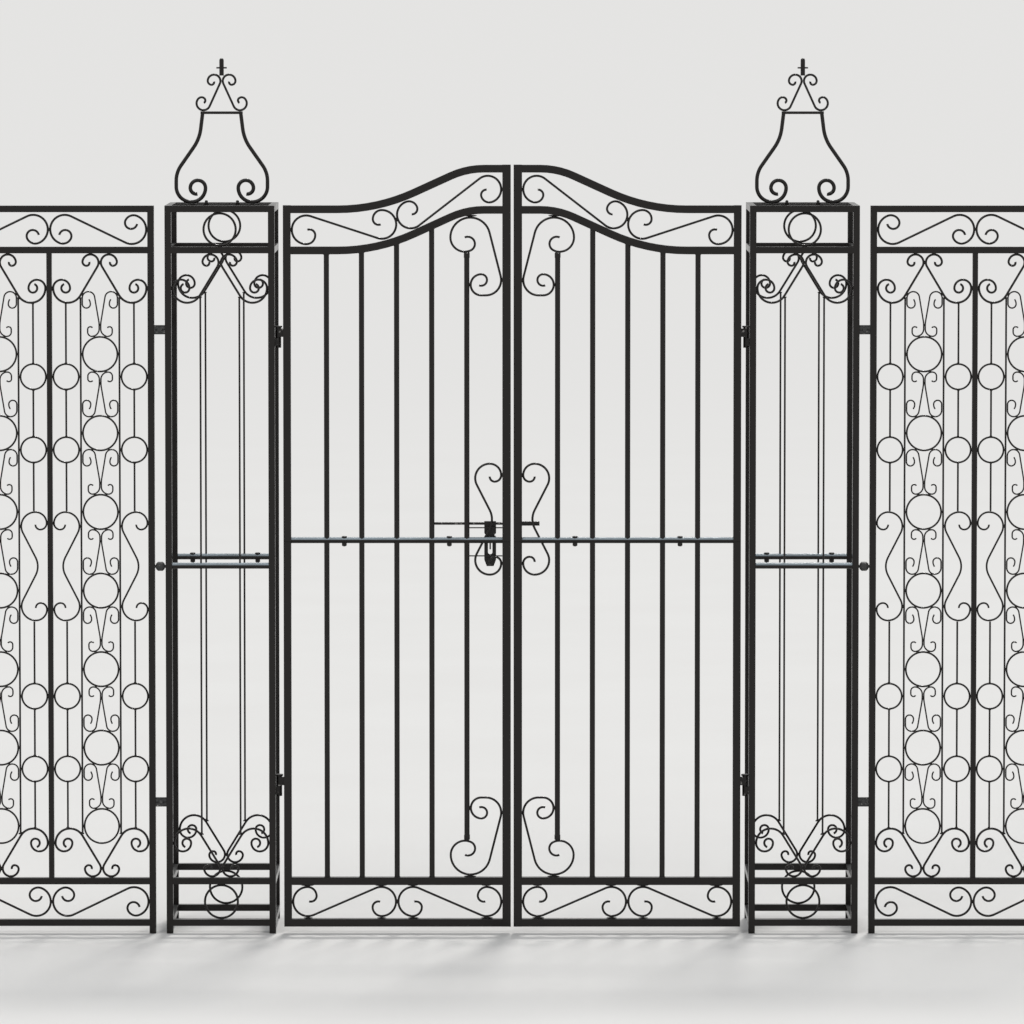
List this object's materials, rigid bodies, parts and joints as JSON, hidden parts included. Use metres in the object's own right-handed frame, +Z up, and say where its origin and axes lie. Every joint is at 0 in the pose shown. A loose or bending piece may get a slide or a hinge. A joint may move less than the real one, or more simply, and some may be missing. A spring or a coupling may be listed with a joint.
{
  "type": "wrought iron driveway gate",
  "caption": "Arched double-leaf scrollwork gate hung between cage pillars with finials, with a sliding bolt and ornamental side panels.",
  "frame": {"origin": "centre of the foot of the left pillar's front inner post, on the ground, in the middle plane of the front frames", "axes": "+X along the gate to the right as seen from the front, +Y to the rear, the way the leaves open, +Z up"},
  "size_m": [2.9674, 0.2905, 2.2961],
  "materials": {
    "black_steel": "semi-gloss black paint"
  },
  "bodies": {
    "fixed": {"left_pillar_front": "black_steel", "left_pillar_back": "black_steel", "left_pillar_side_rails": "black_steel", "left_pillar_front_scrolls": "black_steel", "left_pillar_back_scrolls": "black_steel", "left_finial": "black_steel", "left_hinge_pins": "black_steel", "right_pillar_front": "black_steel", "right_pillar_back": "black_steel", "right_pillar_side_rails": "black_steel", "right_pillar_front_scrolls": "black_steel", "right_pillar_back_scrolls": "black_steel", "right_finial": "black_steel", "right_hinge_pins": "black_steel", "left_panel_grille": "black_steel", "left_panel_bars": "black_steel", "left_panel_rings": "black_steel", "left_panel_inner_bay_scrolls": "black_steel", "left_panel_outer_bay_scrolls": "black_steel", "left_panel_corner_scrolls": "black_steel", "left_panel_long_scrolls": "black_steel", "left_panel_couplings": "black_steel", "right_panel_grille": "black_steel", "right_panel_bars": "black_steel", "right_panel_rings": "black_steel", "right_panel_inner_bay_scrolls": "black_steel", "right_panel_outer_bay_scrolls": "black_steel", "right_panel_corner_scrolls": "black_steel", "right_panel_long_scrolls": "black_steel", "right_panel_couplings": "black_steel"},
    "left_leaf": {"left_leaf_grille": "black_steel", "left_leaf_base_scrolls": "black_steel", "left_leaf_arch_scrolls": "black_steel", "left_leaf_stile_scrolls": "black_steel", "left_hinge_eyes": "black_steel", "bolt_guides": "black_steel"},
    "right_leaf": {"right_leaf_grille": "black_steel", "right_leaf_base_scrolls": "black_steel", "right_leaf_arch_scrolls": "black_steel", "right_leaf_stile_scrolls": "black_steel", "right_hinge_eyes": "black_steel", "bolt_keeper": "black_steel"},
    "bolt": {"bolt_rod": "black_steel", "bolt_handle": "black_steel"}
  },
  "joints": [
    {"name": "left_leaf_hinge", "type": "hinge", "parent": "fixed", "child": "left_leaf", "pos_m": [0.01725, 0.01, 0.39], "axis": [0, 0, 1], "range_deg": [0, 90]},
    {"name": "right_leaf_hinge", "type": "hinge", "parent": "fixed", "child": "right_leaf", "pos_m": [1.24115, 0.01, 0.39], "axis": [0, 0, -1], "range_deg": [0, 90]},
    {"name": "bolt_slide", "type": "slide", "parent": "left_leaf", "child": "bolt", "axis": [1, 0, 0], "range_m": [0, 0.024]}
  ]
}
